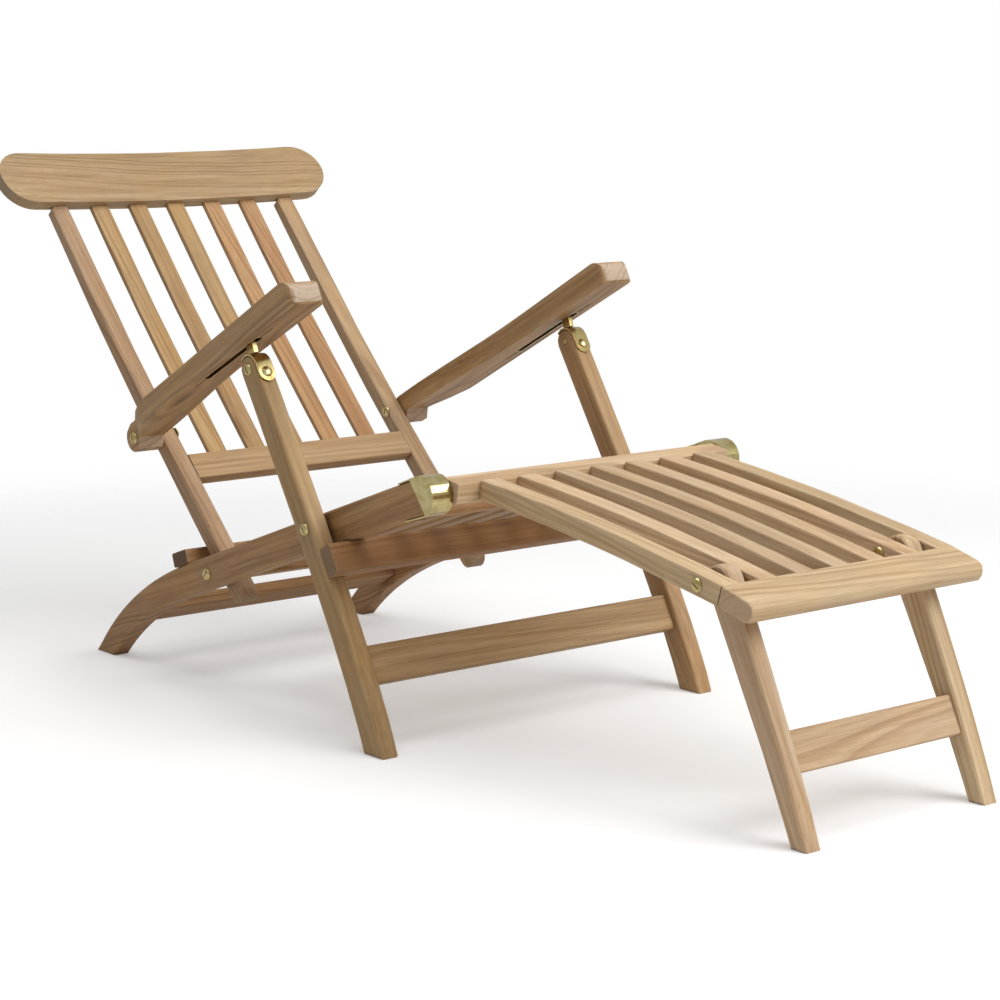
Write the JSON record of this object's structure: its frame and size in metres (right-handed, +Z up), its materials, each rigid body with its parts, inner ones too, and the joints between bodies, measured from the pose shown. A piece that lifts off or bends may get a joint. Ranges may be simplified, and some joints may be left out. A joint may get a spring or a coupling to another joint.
{
  "type": "folding steamer deck chair",
  "caption": "Folding wooden steamer deck chair with slatted reclined back, armrests, slatted seat and hinged footrest on its own legs, with slotted brass pivots.",
  "frame": {"origin": "on the floor, under the middle of the bounding box", "axes": "+Z up, X across the chair with the mirror plane at X=0, foot end toward -Y and head rail toward +Y"},
  "size_m": [0.608, 1.6626, 0.7628],
  "materials": {
    "side_rail": "oiled teak, honey brown",
    "knee_cap": "polished brass, lightly aged",
    "knee_pin": "polished brass, lightly aged",
    "seat_slat": "oiled teak, honey brown",
    "seat_front_rail": "oiled teak, honey brown",
    "seat_rear_rail": "oiled teak, honey brown",
    "rear_top_bar": "oiled teak, honey brown",
    "rear_stretcher": "oiled teak, honey brown",
    "front_leg": "oiled teak, honey brown",
    "leg_spacer": "polished brass, lightly aged",
    "leg_bolt": "polished brass, lightly aged",
    "leg_strap": "polished brass, lightly aged",
    "leg_hook": "polished brass, lightly aged",
    "leg_stop_bar": "oiled teak, honey brown",
    "leg_stretcher": "oiled teak, honey brown",
    "back_stile": "oiled teak, honey brown",
    "back_bolt": "polished brass, lightly aged",
    "back_slat": "oiled teak, sun-lightened",
    "head_rail": "oiled teak, honey brown",
    "lower_back_rail": "oiled teak, sun-lightened",
    "armrest": "oiled teak, honey brown",
    "arm_slot_liner": "polished brass, lightly aged",
    "arm_bolt": "polished brass, lightly aged",
    "knee_bar": "oiled teak, sun-lightened",
    "front_bar": "oiled teak, sun-lightened",
    "foot_slat": "oiled teak, sun-lightened",
    "foot_leg": "oiled teak, sun-lightened",
    "foot_bolt": "polished brass, lightly aged",
    "foot_stretcher": "oiled teak, sun-lightened"
  },
  "bodies": {
    "seat": {"side_rail_left": "side_rail", "side_rail_right": "side_rail", "knee_cap_left": "knee_cap", "knee_cap_right": "knee_cap", "knee_pin_left": "knee_pin", "knee_pin_right": "knee_pin", "seat_slat_1": "seat_slat", "seat_slat_2": "seat_slat", "seat_slat_3": "seat_slat", "seat_slat_4": "seat_slat", "seat_slat_5": "seat_slat", "seat_slat_6": "seat_slat", "seat_slat_7": "seat_slat", "seat_front_rail": "seat_front_rail", "seat_rear_rail": "seat_rear_rail", "rear_top_bar": "rear_top_bar", "rear_stretcher": "rear_stretcher", "back_bolt_left": "back_bolt", "back_bolt_right": "back_bolt"},
    "front_legs": {"front_leg_left": "front_leg", "front_leg_right": "front_leg", "leg_spacer_left": "leg_spacer", "leg_spacer_right": "leg_spacer", "leg_bolt_left": "leg_bolt", "leg_bolt_right": "leg_bolt", "leg_strap_left": "leg_strap", "leg_strap_right": "leg_strap", "leg_hook_left": "leg_hook", "leg_hook_right": "leg_hook", "leg_stop_bar": "leg_stop_bar", "leg_stretcher": "leg_stretcher"},
    "back": {"back_stile_left": "back_stile", "back_stile_right": "back_stile", "back_slat_1": "back_slat", "back_slat_2": "back_slat", "back_slat_3": "back_slat", "back_slat_4": "back_slat", "back_slat_5": "back_slat", "head_rail": "head_rail", "lower_back_rail": "lower_back_rail", "arm_bolt_left": "arm_bolt", "arm_bolt_right": "arm_bolt"},
    "arm_left": {"armrest_left": "armrest", "arm_slot_liner_left": "arm_slot_liner"},
    "arm_right": {"armrest_right": "armrest", "arm_slot_liner_right": "arm_slot_liner"},
    "footrest": {"knee_bar": "knee_bar", "front_bar": "front_bar", "foot_slat_1": "foot_slat", "foot_slat_2": "foot_slat", "foot_slat_3": "foot_slat", "foot_slat_4": "foot_slat", "foot_slat_5": "foot_slat", "foot_slat_6": "foot_slat", "foot_slat_7": "foot_slat", "foot_bolt_left": "foot_bolt", "foot_bolt_right": "foot_bolt"},
    "foot_legs": {"foot_leg_left": "foot_leg", "foot_leg_right": "foot_leg", "foot_stretcher": "foot_stretcher"}
  },
  "joints": [
    {"name": "back_fold", "type": "hinge", "parent": "seat", "child": "back", "pos_m": [0, 0.28561, 0.17076], "axis": [1, 0, 0], "range_deg": [0, 92]},
    {"name": "legs_fold", "type": "hinge", "parent": "seat", "child": "front_legs", "pos_m": [0, -0.02123, 0.284], "axis": [1, 0, 0], "range_deg": [0, 81]},
    {"name": "arm_left_fold", "type": "hinge", "parent": "back", "child": "arm_left", "pos_m": [0, 0.45905, 0.35208], "axis": [1, 0, 0], "range_deg": [-94, 0]},
    {"name": "arm_right_fold", "type": "hinge", "parent": "back", "child": "arm_right", "pos_m": [0, 0.45905, 0.35208], "axis": [1, 0, 0], "range_deg": [-94, 0]},
    {"name": "footrest_fold", "type": "hinge", "parent": "seat", "child": "footrest", "pos_m": [0, -0.25294, 0.35599], "axis": [1, 0, 0], "range_deg": [-25, 35]},
    {"name": "foot_legs_fold", "type": "hinge", "parent": "footrest", "child": "foot_legs", "pos_m": [0, -0.67845, 0.29754], "axis": [1, 0, 0], "range_deg": [0, 105]}
  ],
  "couplings": [
    {"joint": "legs_fold", "follows": "back_fold", "ratio": 0.88},
    {"joint": "arm_left_fold", "follows": "back_fold", "ratio": -1.02},
    {"joint": "arm_right_fold", "follows": "back_fold", "ratio": -1.02}
  ]
}
